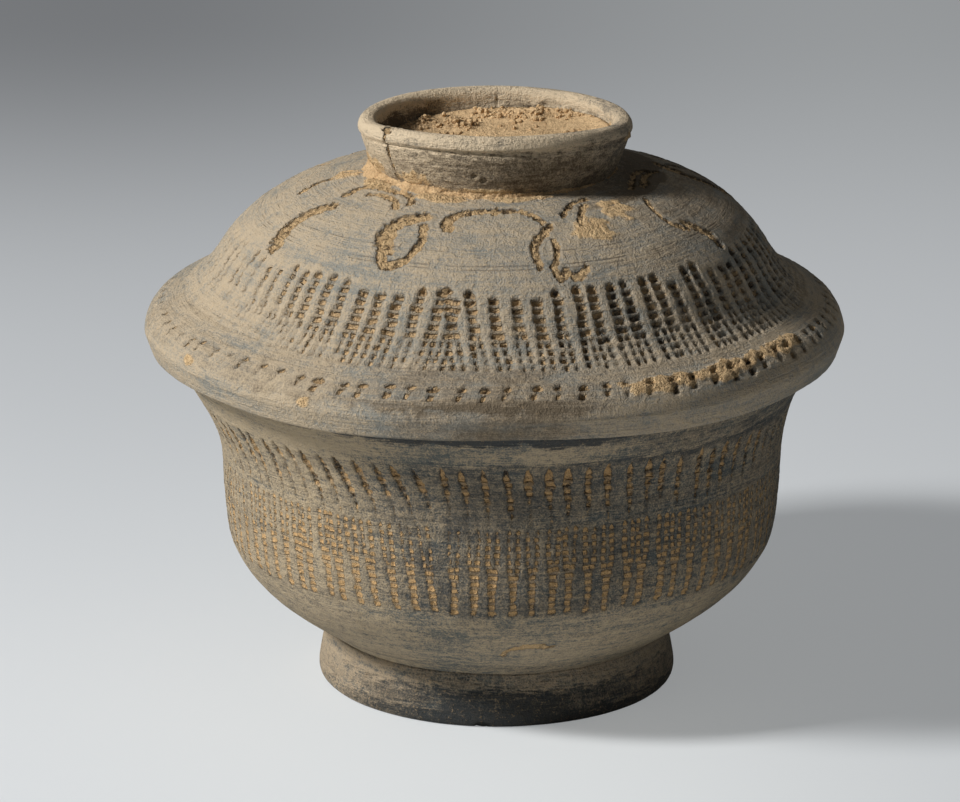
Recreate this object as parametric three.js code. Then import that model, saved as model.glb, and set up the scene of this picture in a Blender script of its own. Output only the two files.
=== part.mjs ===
// Covered bowl of wheel-thrown grey stoneware: a deep bowl on a luted foot ring,
// and a domed lid with a luted ring knob and an inner flange that centres it in the bowl's mouth.
// Millimetres, +Z up. The origin is at the centre of the foot's underside.
import * as THREE from "three";

// Whole turn in flats, the same for every piece so that luted seats meet edge to edge.
const TURN_STEPS = 64;

// Foot ring: its height, its radius where the bowl is luted on, how far its toe stands out beyond
// that, and the wall it is thrown with.
const FOOT_HEIGHT = 12.6;
const FOOT_TOP_RADIUS = 40.4;
const FOOT_SPLAY = 2.1;
const FOOT_RADIUS = FOOT_TOP_RADIUS + FOOT_SPLAY;
const FOOT_WALL = 5.0;
const FOOT_TOE_HEIGHT = 2.4;
const FOOT_LAND_WIDTH = 2.7;
const FOOT_TOE_SETBACK = 1.2;
const FOOT_TOE_SLOPE = 20;
const FOOT_SIDE_LEAN = 17;
const FOOT_INSIDE_LEAN = 20;

// Bowl: heights are above the ground, radii are to the outside unless said otherwise.
const BELLY_RADIUS = 66.0;
const BELLY_HEIGHT = 52.0;
const RIM_RADIUS = 76.2;
const RIM_HEIGHT = 85.2;
const RIM_LIP_RADIUS = 2.1;
const RIM_FLARE = 18.4;
const BOWL_WALL = 5.2;
const BOWL_FLOOR = 7.5;
const BOWL_BASE_SAG = 1.7;
const BOWL_BASE_MARGIN = 1.0;
const BOWL_BASE_SLOPE = 30;
const LOWER_WALL_SLOPE = 36;

// Lid, sized from the bowl's rim: its arris overhangs the rim, its edge is set back below the arris,
// its brim runs in to the bend, and edge, bend and crown lie below or above the top of the rim.
const LID_OVERHANG = 6.1;
const LID_ARRIS_RADIUS = RIM_RADIUS + LID_OVERHANG;
const LID_EDGE_SETBACK = 1.5;
const LID_EDGE_RADIUS = LID_ARRIS_RADIUS - LID_EDGE_SETBACK;
const LID_EDGE_DROP = 3.8;
const LID_EDGE_BAND = 5.1;
const LID_EDGE_ROLL = 0.75;
const LID_EDGE_LEAN = 10;
const LID_EDGE_UNDERCUT = 25;
const LID_BRIM_WIDTH = 17.4;
const LID_BEND_RADIUS = LID_ARRIS_RADIUS - LID_BRIM_WIDTH;
const LID_BEND_RISE = 18.8;
const LID_BEND_SLOPE = 122;
const LID_CROWN_RISE = 40.1;
const LID_WALL = 6.5;
const LID_SEAT_GAP = 0.3;
const LID_SEAT_MARGIN = 1.7;
const LID_THROAT_SLOPE = 78;

// Inner flange of the lid, sized from the bowl's mouth.
const FLANGE_DEPTH = 7.2;
const FLANGE_WALL = 3.4;
const FLANGE_PLAY = 1.8;

// Ring knob on the crown.
const KNOB_NECK_RADIUS = 27.9;
const KNOB_FLARE = 3.6;
const KNOB_LIP_RADIUS = KNOB_NECK_RADIUS + KNOB_FLARE;
const KNOB_SIDE_SLOPE = 60;
const KNOB_INSIDE_LEAN = 15;
const KNOB_HEIGHT = 12.4;
const KNOB_LIP_WALL = 4.1;
const KNOB_LIP_DEPTH = 2.4;
const KNOB_BASE_WALL = 4.0;
const KNOB_SEAT_GAP = 0.3;

// How far each wall keeps to its angle at its two ends before it turns, as shares of its length.
const FULLNESS = {
  bowlBase: [0.45, 0.12],
  lowerWall: [0.47, 0.46],
  upperWall: [0.5, 0.25],
  bowlFloor: [0.37, 0.59],
  footToe: [0.4, 0.5],
  footSide: [0.35, 0.3],
  brim: [0.36, 0.62],
  crown: [0.36, 0.29],
  knobSide: [0.2, 0.22],
  inside: [0.3, 0.3],
};

// Flats along each stretch of a half section.
const FLATS = {
  bowlBase: 4,
  lowerWall: 9,
  upperWall: 7,
  lip: 4,
  mouth: 6,
  bowlFloor: 8,
  footToe: 3,
  footSide: 5,
  footInside: 4,
  lidInside: 8,
  throat: 4,
  lidEdge: 3,
  brim: 9,
  crownOutsideKnob: 9,
  crownInsideKnob: 3,
  flangeRoll: 4,
  knobSide: 4,
  knobLip: 6,
  knobInside: 4,
};

// A point of a half section: radius from the axis, height above the ground.
function point(radius, height) {
  return new THREE.Vector2(radius, height);
}

function heading(degrees) {
  const angle = THREE.MathUtils.degToRad(degrees);
  return new THREE.Vector2(Math.cos(angle), Math.sin(angle));
}

// A smooth stretch of wall that leaves one point and reaches the next at given angles from level.
function sweep(from, fromAngle, to, toAngle, fullness) {
  const span = from.distanceTo(to);
  const leave = from.clone().addScaledVector(heading(fromAngle), span * fullness[0]);
  const arrive = to.clone().addScaledVector(heading(toAngle), -span * fullness[1]);
  return new THREE.CubicBezierCurve(from, leave, arrive, to);
}

// Part of an ellipse between two angles, counted from outwards towards up.
function roll(centre, radiusOut, radiusUp, fromAngle, toAngle) {
  const start = THREE.MathUtils.degToRad(fromAngle);
  const end = THREE.MathUtils.degToRad(toAngle);
  return new THREE.EllipseCurve(centre.x, centre.y, radiusOut, radiusUp, start, end, end < start);
}

// Joins single points and runs of points into one outline and drops points that repeat.
function outline(...stretches) {
  const joined = [];
  for (const next of stretches.flat()) {
    const last = joined[joined.length - 1];
    if (!last || last.distanceTo(next) > 1e-6) {
      joined.push(next);
    }
  }
  return joined;
}

// The share along a curve at which it passes a wanted radius ("x") or height ("y").
function shareAt(curve, axis, wanted) {
  const rising = curve.getPoint(1)[axis] > curve.getPoint(0)[axis];
  let low = 0;
  let high = 1;
  for (let step = 0; step < 50; step += 1) {
    const middle = (low + high) / 2;
    const short = curve.getPoint(middle)[axis] < wanted;
    if (short === rising) {
      low = middle;
    } else {
      high = middle;
    }
  }
  return (low + high) / 2;
}

// The points of a curve between two shares of it.
function stretch(curve, fromShare, toShare, steps) {
  const points = [];
  for (let step = 0; step <= steps; step += 1) {
    points.push(curve.getPoint(THREE.MathUtils.lerp(fromShare, toShare, step / steps)));
  }
  return points;
}

// The same fullness for a wall that is drawn from its other end.
function reversed(fullness) {
  return [fullness[1], fullness[0]];
}

function material(colour, roughness) {
  return new THREE.MeshStandardMaterial({ color: colour, roughness, metalness: 0 });
}

// Turns a half section about the vertical axis.
function turned(name, halfSection, surface) {
  const geometry = new THREE.LatheGeometry(halfSection, TURN_STEPS);
  geometry.rotateX(Math.PI / 2);
  const mesh = new THREE.Mesh(geometry, surface);
  mesh.name = name;
  return mesh;
}

// The bowl's wall, outside and inside, from the foot to the rolled lip.
const crease = point(FOOT_TOP_RADIUS, FOOT_HEIGHT);
const belly = point(BELLY_RADIUS, BELLY_HEIGHT);
const lipCentre = point(RIM_RADIUS - RIM_LIP_RADIUS, RIM_HEIGHT - RIM_LIP_RADIUS);
const lipOutside = lipCentre.clone().addScaledVector(heading(-RIM_FLARE), RIM_LIP_RADIUS);
const lipInside = lipCentre.clone().addScaledVector(heading(180 - RIM_FLARE), RIM_LIP_RADIUS);
const bellyInside = point(BELLY_RADIUS - BOWL_WALL, BELLY_HEIGHT);
const baseCentre = point(0, FOOT_HEIGHT - BOWL_BASE_SAG);
const floorCentre = point(0, baseCentre.y + BOWL_FLOOR);
const wallTop = 90 - RIM_FLARE;

const lowerWall = sweep(crease, LOWER_WALL_SLOPE, belly, 90, FULLNESS.lowerWall);
const upperWall = sweep(belly, 90, lipOutside, wallTop, FULLNESS.upperWall);
const mouth = sweep(lipInside, wallTop + 180, bellyInside, 270, reversed(FULLNESS.upperWall));
const bowlFloor = sweep(bellyInside, 270, floorCentre, 180, FULLNESS.bowlFloor);

// The foot's wall at its top, which is the seat the bowl is luted to.
const footSeatInner = FOOT_TOP_RADIUS - FOOT_WALL;
const baseEdge = point(footSeatInner - BOWL_BASE_MARGIN, FOOT_HEIGHT);

const bowlBody = turned("bowl_body", outline(
  sweep(baseCentre, 0, baseEdge, BOWL_BASE_SLOPE, FULLNESS.bowlBase).getPoints(FLATS.bowlBase),
  crease,
  lowerWall.getPoints(FLATS.lowerWall),
  upperWall.getPoints(FLATS.upperWall),
  roll(lipCentre, RIM_LIP_RADIUS, RIM_LIP_RADIUS, -RIM_FLARE, 180 - RIM_FLARE).getPoints(FLATS.lip),
  mouth.getPoints(FLATS.mouth),
  bowlFloor.getPoints(FLATS.bowlFloor),
), material(0x6a6660, 0.82));

// The foot ring: a flat land on the ground, a rounded toe, a side that leans in, a flat seat on top.
const toe = point(FOOT_RADIUS, FOOT_TOE_HEIGHT);
const landOutside = point(FOOT_RADIUS - FOOT_TOE_SETBACK, 0);
const landInside = point(landOutside.x - FOOT_LAND_WIDTH, 0);
const footInside = point(landInside.x - FOOT_TOE_SETBACK, FOOT_TOE_HEIGHT);
const footSeat = point(footSeatInner, FOOT_HEIGHT);

const footRing = turned("foot_ring", outline(
  landInside,
  sweep(landOutside, FOOT_TOE_SLOPE, toe, 90, FULLNESS.footToe).getPoints(FLATS.footToe),
  sweep(toe, 90, crease, 90 + FOOT_SIDE_LEAN, FULLNESS.footSide).getPoints(FLATS.footSide),
  sweep(footSeat, 270, footInside, 270 + FOOT_INSIDE_LEAN, FULLNESS.inside).getPoints(FLATS.footInside),
  landInside,
), material(0x635f58, 0.85));

// The lid's outside, from the arris over the brim and the shoulder to the crown.
const seatHeight = RIM_HEIGHT + LID_SEAT_GAP;
const edgeHeight = RIM_HEIGHT - LID_EDGE_DROP;
const arris = point(LID_ARRIS_RADIUS, edgeHeight + LID_EDGE_BAND);
const bend = point(LID_BEND_RADIUS, RIM_HEIGHT + LID_BEND_RISE);
const crownTop = point(0, RIM_HEIGHT + LID_CROWN_RISE);
const brim = sweep(arris, 90 + LID_EDGE_LEAN, bend, LID_BEND_SLOPE, FULLNESS.brim);
const crown = sweep(bend, LID_BEND_SLOPE, crownTop, 180, FULLNESS.crown);

// The knob's seat: a flat scraped round the crown, as high as the crown is at the knob's neck.
const seatOuterShare = shareAt(crown, "x", KNOB_NECK_RADIUS + KNOB_SEAT_GAP);
const knobSeatHeight = crown.getPoint(seatOuterShare).y;
const knobInnerRadius = KNOB_NECK_RADIUS - KNOB_BASE_WALL;
const seatInnerRadius = knobInnerRadius - KNOB_SEAT_GAP;
const seatInnerShare = shareAt(crown, "x", seatInnerRadius);

// The flange hangs just inside the mouth of the bowl with the same play at both ends, and its foot
// passes the lip even where the belly is wider than the mouth.
const flangeFoot = seatHeight - FLANGE_DEPTH;
const mouthAtFlange = mouth.getPoint(shareAt(mouth, "y", flangeFoot)).x;
const flangeTopRadius = lipInside.x - FLANGE_PLAY;
const flangeFootRadius = Math.min(mouthAtFlange, lipInside.x) - FLANGE_PLAY;

// The lid's inside, from the flange up a thick corner to the crown.
const wallInwards = heading(LID_BEND_SLOPE + 90);
const bendInside = bend.clone().addScaledVector(wallInwards, LID_WALL);
const crownInside = point(0, crownTop.y - LID_WALL);
const throat = point(flangeTopRadius - FLANGE_WALL, seatHeight);
const seatOutside = point(RIM_RADIUS + LID_SEAT_MARGIN, seatHeight);
const edgeCentre = point(LID_EDGE_RADIUS - LID_EDGE_ROLL, edgeHeight + LID_EDGE_ROLL);
const slopeInside = LID_BEND_SLOPE - 180;
const edgeFrom = 180 + LID_EDGE_UNDERCUT;
const edgeTo = 360 - LID_EDGE_LEAN;

const lidShell = turned("lid_shell", outline(
  sweep(crownInside, 0, bendInside, slopeInside, reversed(FULLNESS.crown)).getPoints(FLATS.lidInside),
  sweep(bendInside, slopeInside, throat, -LID_THROAT_SLOPE, FULLNESS.inside).getPoints(FLATS.throat),
  seatOutside,
  roll(edgeCentre, LID_EDGE_ROLL, LID_EDGE_ROLL, edgeFrom, edgeTo).getPoints(FLATS.lidEdge),
  brim.getPoints(FLATS.brim),
  stretch(crown, 0, seatOuterShare, FLATS.crownOutsideKnob),
  point(seatInnerRadius, knobSeatHeight),
  stretch(crown, seatInnerShare, 1, FLATS.crownInsideKnob),
), material(0x9c8f7c, 0.8));

// The flange: flat on top where it is luted to the lid, rounded at its foot.
const flangeRoll = FLANGE_WALL / 2;
const flangeFootCentre = point(flangeFootRadius - flangeRoll, flangeFoot + flangeRoll);

const lidSeatFlange = turned("lid_seat_flange", outline(
  throat,
  roll(flangeFootCentre, flangeRoll, flangeRoll, 180, 360).getPoints(FLATS.flangeRoll),
  point(flangeTopRadius, seatHeight),
  throat,
), material(0x8b8070, 0.85));

// The ring knob: a low cup without a floor of its own, flared, with a rolled lip.
const knobNeck = point(KNOB_NECK_RADIUS, knobSeatHeight);
const knobFoot = point(knobInnerRadius, knobSeatHeight);
const knobLipCentre = point(
  KNOB_LIP_RADIUS - KNOB_LIP_WALL / 2,
  knobSeatHeight + KNOB_HEIGHT - KNOB_LIP_DEPTH,
);
const knobLipOutside = point(KNOB_LIP_RADIUS, knobLipCentre.y);
const knobLipInside = point(KNOB_LIP_RADIUS - KNOB_LIP_WALL, knobLipCentre.y);

const lidKnobRing = turned("lid_knob_ring", outline(
  knobFoot,
  sweep(knobNeck, KNOB_SIDE_SLOPE, knobLipOutside, 90, FULLNESS.knobSide).getPoints(FLATS.knobSide),
  roll(knobLipCentre, KNOB_LIP_WALL / 2, KNOB_LIP_DEPTH, 0, 180).getPoints(FLATS.knobLip),
  sweep(knobLipInside, 270, knobFoot, 270 - KNOB_INSIDE_LEAN, FULLNESS.inside).getPoints(FLATS.knobInside),
), material(0xa2937c, 0.8));

// Two loose things: the bowl with its foot, and the lid with its flange and knob.
const bowl = new THREE.Group();
bowl.add(bowlBody, footRing);
const lid = new THREE.Group();
lid.add(lidShell, lidSeatFlange, lidKnobRing);

const coveredBowl = new THREE.Group();
coveredBowl.add(bowl, lid);
export default coveredBowl;
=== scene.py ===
import math

import bpy
import numpy as np
from mathutils import Matrix, Vector


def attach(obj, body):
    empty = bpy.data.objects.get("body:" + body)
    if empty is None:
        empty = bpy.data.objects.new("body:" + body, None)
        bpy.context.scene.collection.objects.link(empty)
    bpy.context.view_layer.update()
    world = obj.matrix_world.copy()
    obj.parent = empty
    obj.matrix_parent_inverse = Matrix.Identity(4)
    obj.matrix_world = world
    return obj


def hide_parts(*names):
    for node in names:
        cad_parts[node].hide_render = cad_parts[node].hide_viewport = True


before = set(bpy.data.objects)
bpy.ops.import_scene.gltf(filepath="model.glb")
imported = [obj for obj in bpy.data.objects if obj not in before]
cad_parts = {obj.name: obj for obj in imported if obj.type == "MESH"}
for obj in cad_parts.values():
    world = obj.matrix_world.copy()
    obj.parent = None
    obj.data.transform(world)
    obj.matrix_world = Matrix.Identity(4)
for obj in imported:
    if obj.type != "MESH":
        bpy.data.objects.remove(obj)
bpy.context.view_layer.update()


# The bowl: a deep round vessel thrown on the wheel from grey stoneware clay. Its wall was pressed all
# round with a comb of small beads in two registers, then fired hard, and it lay in ochre soil, which
# still fills the stamps.
FOOT_HEIGHT = 0.0126
FOOT_TOP_RADIUS = 0.0404
BELLY = (0.066, 0.052)
LIP_RADIUS = 0.0021
LIP_CENTRE = (0.0741, 0.0831)
RIM_FLARE = 18.4
BOWL_WALL = 0.0052
BOWL_UNDERSIDE = 0.0109
BOWL_INSIDE_FLOOR = 0.0184
FOOT_SHIFT = 0.0008
BELLY_SHIFT = 0.001
LOWER_FULLNESS = 0.0007
# Heights, and radii, between which the belly's shift and the lower wall's fullness come in or end.
SHIFT_GROWS = (0.016, 0.042)
SHIFT_ENDS = (0.056, 0.078)
FULLNESS_GROWS = (0.0127, 0.024)
FULLNESS_ENDS = (0.034, 0.046)
FULLNESS_RADII = (0.03, 0.045)
# Points closer than this are one point.
TOUCHING = 1e-7


def heading(degrees):
    """A step of one in a direction, counted from outwards towards up."""
    return np.array((math.cos(math.radians(degrees)), math.sin(math.radians(degrees))))


def thrown(start, leave, end, arrive, fullness, count=160):
    """A smooth stretch of wall as (radius, height), leaving and arriving at angles from level."""
    start, end = np.array(start), np.array(end)
    span = np.linalg.norm(end - start)
    pull = start + heading(leave) * span * fullness[0]
    push = end - heading(arrive) * span * fullness[1]
    share = np.linspace(0, 1, count)[:, None]
    rest = 1 - share
    return rest**3 * start + 3 * rest**2 * share * pull + 3 * rest * share**2 * push + share**3 * end


def rolled(centre, radius, begin, finish, count=40):
    """Part of a rolled edge, between two angles counted from outwards towards up."""
    angles = np.radians(np.linspace(begin, finish, count))
    return np.stack((centre[0] + radius * np.cos(angles), centre[1] + radius * np.sin(angles)), 1)


def way_along(wall):
    """How far along the wall each of its points lies."""
    return np.concatenate(([0], np.cumsum(np.linalg.norm(np.diff(wall, axis=0), axis=1))))


def between(wall, low, high, count=200):
    """The part of a wall from one distance along it to another; negative high runs to its end."""
    way = way_along(wall)
    marks = np.linspace(low, way[-1] if high < 0 else high, count)
    return np.stack((np.interp(marks, way, wall[:, 0]), np.interp(marks, way, wall[:, 1])), 1)


def evenly(wall, gap):
    """The whole wall as points that lie about one gap apart."""
    return between(wall, 0, -1, max(2, int(round(way_along(wall)[-1] / gap)) + 1))


def quads(lower, upper, fine, finer):
    """Faces between two rings; where one ring has twice the points of the other, in threes."""
    step = np.arange(min(fine, finer))
    after = (step + 1) % min(fine, finer)
    if fine == finer:
        return [np.stack((lower + step, lower + after, upper + after, upper + step), 1)]
    twice, middle, next_twice = 2 * step, 2 * step + 1, 2 * after
    if finer > fine:
        return [
            np.stack((lower + step, lower + after, upper + middle), 1),
            np.stack((lower + after, upper + next_twice, upper + middle), 1),
            np.stack((lower + step, upper + middle, upper + twice), 1),
        ]
    return [
        np.stack((lower + twice, lower + middle, upper + step), 1),
        np.stack((lower + middle, upper + after, upper + step), 1),
        np.stack((lower + middle, lower + next_twice, upper + after), 1),
    ]


def turned(name, stretches, datum, by_hand, closed=False):
    """Turns stretches of wall into one skin. Each stretch is (wall, gap between rings, points round).

    Every point keeps its turn from the front and its distance along the wall from the datum."""
    rings = []
    for wall, gap, count in stretches:
        # Where two stretches meet, their shared ring is made once, with the larger number of points.
        for radius, height in evenly(wall, gap):
            if rings and math.hypot(radius - rings[-1][0], height - rings[-1][1]) < TOUCHING:
                rings[-1][2] = max(rings[-1][2], count)
            else:
                rings.append([radius, height, count])
    if closed and math.hypot(rings[0][0] - rings[-1][0], rings[0][1] - rings[-1][1]) < TOUCHING:
        rings.pop()
    # Neighbouring rings differ by twice the points at most, and a ring on the axis is one point.
    for order in (range(1, len(rings)), range(len(rings) - 2, -1, -1)):
        for index in order:
            beside = rings[index - 1] if order.step > 0 else rings[index + 1]
            if rings[index][0] > TOUCHING and beside[0] > TOUCHING:
                rings[index][2] = max(rings[index][2], beside[2] // 2)
    for ring in rings:
        ring[2] = 1 if ring[0] < TOUCHING else ring[2]
    walked = np.cumsum([0] + [math.dist(a[:2], b[:2]) for a, b in zip(rings, rings[1:])])
    walked = walked - walked[min(range(len(rings)), key=lambda k: math.dist(rings[k][:2], datum))]

    starts, turns, radii, heights, alongs = [], [], [], [], []
    total = 0
    for (radius, height, count), along in zip(rings, walked):
        starts.append(total)
        turns.append(-math.pi + 2 * math.pi * np.arange(count) / count)
        radii.append(np.full(count, radius))
        heights.append(np.full(count, height))
        alongs.append(np.full(count, along))
        total += count
    turns, radii, heights, alongs = map(np.concatenate, (turns, radii, heights, alongs))

    faces = []
    pairs = [(index, index + 1) for index in range(len(rings) - 1)]
    if closed:
        pairs.append((len(rings) - 1, 0))
    for a, b in pairs:
        count_a, count_b = rings[a][2], rings[b][2]
        if count_a == 1:
            step = np.arange(count_b)
            pole = np.full(count_b, starts[a])
            faces += [np.stack((pole, starts[b] + (step + 1) % count_b, starts[b] + step), 1)]
        elif count_b == 1:
            step = np.arange(count_a)
            pole = np.full(count_a, starts[b])
            faces += [np.stack((pole, starts[a] + step, starts[a] + (step + 1) % count_a), 1)]
        else:
            faces += quads(starts[a], starts[b], count_a, count_b)

    mesh = bpy.data.meshes.new(name)
    mesh.from_pydata(by_hand(turns, radii, heights), [], [face for some in faces for face in some.tolist()])
    mesh.polygons.foreach_set("use_smooth", np.ones(len(mesh.polygons), dtype=bool))
    for label, values in (("turn", turns), ("along", alongs)):
        mesh.attributes.new(label, "FLOAT", "POINT").data.foreach_set("value", values.astype(np.float32))
    mesh.update()
    return mesh


def straight_round(turns, radii, heights):
    """True round: turn 0 faces the front."""
    return np.stack((radii * np.sin(turns), -radii * np.cos(turns), heights), 1)


def smooth(values, low, high):
    """Rises smoothly from nothing to one between two limits."""
    share = np.clip((values - low) / (high - low), 0, 1)
    return share * share * (3 - 2 * share)


def swollen_bowl(turns, radii, heights):
    """The foot stands a little to the right of the rim, the belly more so, and the lower wall is full."""
    fuller = smooth(heights, *FULLNESS_GROWS) * (1 - smooth(heights, *FULLNESS_ENDS))
    fuller = fuller * smooth(radii, *FULLNESS_RADII)
    places = straight_round(turns, radii + LOWER_FULLNESS * fuller, heights)
    below_rim = 1 - smooth(heights, *SHIFT_ENDS)
    places[:, 0] += (FOOT_SHIFT + BELLY_SHIFT * smooth(heights, *SHIFT_GROWS)) * below_rim
    return places


class Wire:
    """A socket in a node tree, with the sums that are done on it."""

    def __init__(self, tree, socket=None):
        self.tree = tree
        self.socket = socket

    def make(self, kind, settings=None, sockets=None):
        """Adds a node, sets it up, then fills its sockets by name or number; gives its first output."""
        node = self.tree.nodes.new(kind)
        for setting, value in (settings or {}).items():
            setattr(node, setting, value)
        for key, value in (sockets or {}).items():
            if isinstance(key, int):
                target = node.inputs[key]
            else:
                target = next(s for s in node.inputs if s.name == key and s.enabled)
            for one in value if isinstance(value, list) else [value]:
                if isinstance(one, Wire):
                    self.tree.links.new(one.socket, target)
                else:
                    target.default_value = one
        given = [s for s in node.outputs if s.enabled]
        return Wire(self.tree, given[0] if given else None)

    def out(self, name):
        """Another output of the same node."""
        return Wire(self.tree, next(s for s in self.socket.node.outputs if s.name == name and s.enabled))

    def sum(self, operation, *others):
        """One of Blender's sums on this value and others."""
        values = dict(enumerate((self,) + others))
        return self.make("ShaderNodeMath", {"operation": operation}, values)

    def __add__(self, other):
        return self.sum("ADD", other)

    __radd__ = __add__

    def __mul__(self, other):
        return self.sum("MULTIPLY", other)

    def __sub__(self, other):
        return self.sum("SUBTRACT", other)

    def __rsub__(self, other):
        return self.make("ShaderNodeMath", {"operation": "SUBTRACT"}, {0: other, 1: self})

    def __truediv__(self, other):
        return self.sum("DIVIDE", other)

    def __pow__(self, other):
        return self.sum("POWER", other)

    def __mod__(self, other):
        return self.sum("FLOORED_MODULO", other)

    def __abs__(self):
        return self.sum("ABSOLUTE")

    def floor(self):
        return self.sum("FLOOR")

    def most(self, other):
        return self.sum("MAXIMUM", other)

    def least(self, other):
        return self.sum("MINIMUM", other)

    def over(self, limit):
        return self.sum("GREATER_THAN", limit)

    def ramp(self, low, high, start=0.0, end=1.0):
        """Rises smoothly from start to end between two limits, or falls if low is above high."""
        if not isinstance(low, Wire) and not isinstance(high, Wire) and low > high:
            low, high, start, end = high, low, end, start
        return self.make("ShaderNodeMapRange", {"interpolation_type": "SMOOTHSTEP"}, {
            "Value": self, "From Min": low, "From Max": high, "To Min": start, "To Max": end,
        })

    def mix(self, first, second):
        """This wire as the share of the second value over the first."""
        return first + (second - first) * self

    def tint(self, first, second):
        """This wire as the share of the second colour over the first."""
        return self.make("ShaderNodeMix", {"data_type": "RGBA"}, {"Factor": self, "A": first, "B": second})

    def vector(self, x, y, z):
        """A vector from three values."""
        return self.make("ShaderNodeCombineXYZ", None, {"X": x, "Y": y, "Z": z})

    def vectors(self, operation, other):
        """One of Blender's sums on this vector and another."""
        return self.make("ShaderNodeVectorMath", {"operation": operation}, {0: self, 1: other})

    def scaled(self, factor):
        """This vector, made longer or shorter."""
        return self.make("ShaderNodeVectorMath", {"operation": "SCALE"}, {0: self, "Scale": factor})

    def split(self):
        """The three values of this vector."""
        parts = self.make("ShaderNodeSeparateXYZ", None, {"Vector": self})
        return parts, parts.out("Y"), parts.out("Z")

    def noise(self, scale, detail=3.0, roughness=0.55):
        """Cloudy values around 0.5 at this place."""
        return self.make("ShaderNodeTexNoise", None, {
            "Vector": self, "Scale": scale, "Detail": detail, "Roughness": roughness,
        })


def new_tree(name, sizes):
    """A Geometry Nodes tree with clay going in and out, a named input for each size, and a surface."""
    tree = bpy.data.node_groups.new(name, "GeometryNodeTree")
    tree.interface.new_socket("Clay", in_out="OUTPUT", socket_type="NodeSocketGeometry")
    tree.interface.new_socket("Clay", in_out="INPUT", socket_type="NodeSocketGeometry")
    for size, usual in sizes.items():
        kind = "NodeSocketInt" if isinstance(usual, int) else "NodeSocketFloat"
        tree.interface.new_socket(size, in_out="INPUT", socket_type=kind).default_value = usual
    tree.interface.new_socket("Surface", in_out="INPUT", socket_type="NodeSocketMaterial")
    return tree, Wire(tree).make("NodeGroupInput")


def finish_tree(given, clay):
    """Covers the clay with its surface and gives it out."""
    solid = given.make("GeometryNodeRealizeInstances", None, {"Geometry": clay})
    surface = given.out("Surface")
    dressed = given.make("GeometryNodeSetMaterial", None, {"Geometry": solid, "Material": surface})
    given.make("NodeGroupOutput", None, {"Clay": dressed})


def marked(given, name):
    """A value that every point of the clay carries."""
    return given.make("GeometryNodeInputNamedAttribute", {"data_type": "FLOAT"}, {"Name": name})


def mark(given, clay, name, value):
    """Gives every point of the clay a value to carry."""
    return given.make("GeometryNodeStoreNamedAttribute", {"data_type": "FLOAT", "domain": "POINT"}, {
        "Geometry": clay, "Name": name, "Value": value,
    })


def press_in(given, clay, press, depth, raised):
    """Adds a stamp to the marks on the clay: pit is 0.6 on its edge, sunk and raised are depths."""
    clay = mark(given, clay, "pit", marked(given, "pit").most(press))
    clay = mark(given, clay, "sunk", marked(given, "sunk").most(depth))
    return mark(given, clay, "raised", marked(given, "raised") + raised)


def sampled(given, points, kind, value, number):
    """A value of one of the points, by its number."""
    return given.make("GeometryNodeSampleIndex", {"data_type": kind, "domain": "POINT"}, {
        "Geometry": points, "Value": value, "Index": number,
    })


# The comb: upright chains of small beads, pressed side by side round the wall. A chain has one or two
# legs that meet at the share Join of its height; the top bead may be drawn out into a pointed tip.
# Uneven clay makes the chains sway, and each bead pushes up a low rim.
COMB_SWAY = 0.0006
PUSHED_UP = 0.0001


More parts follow.
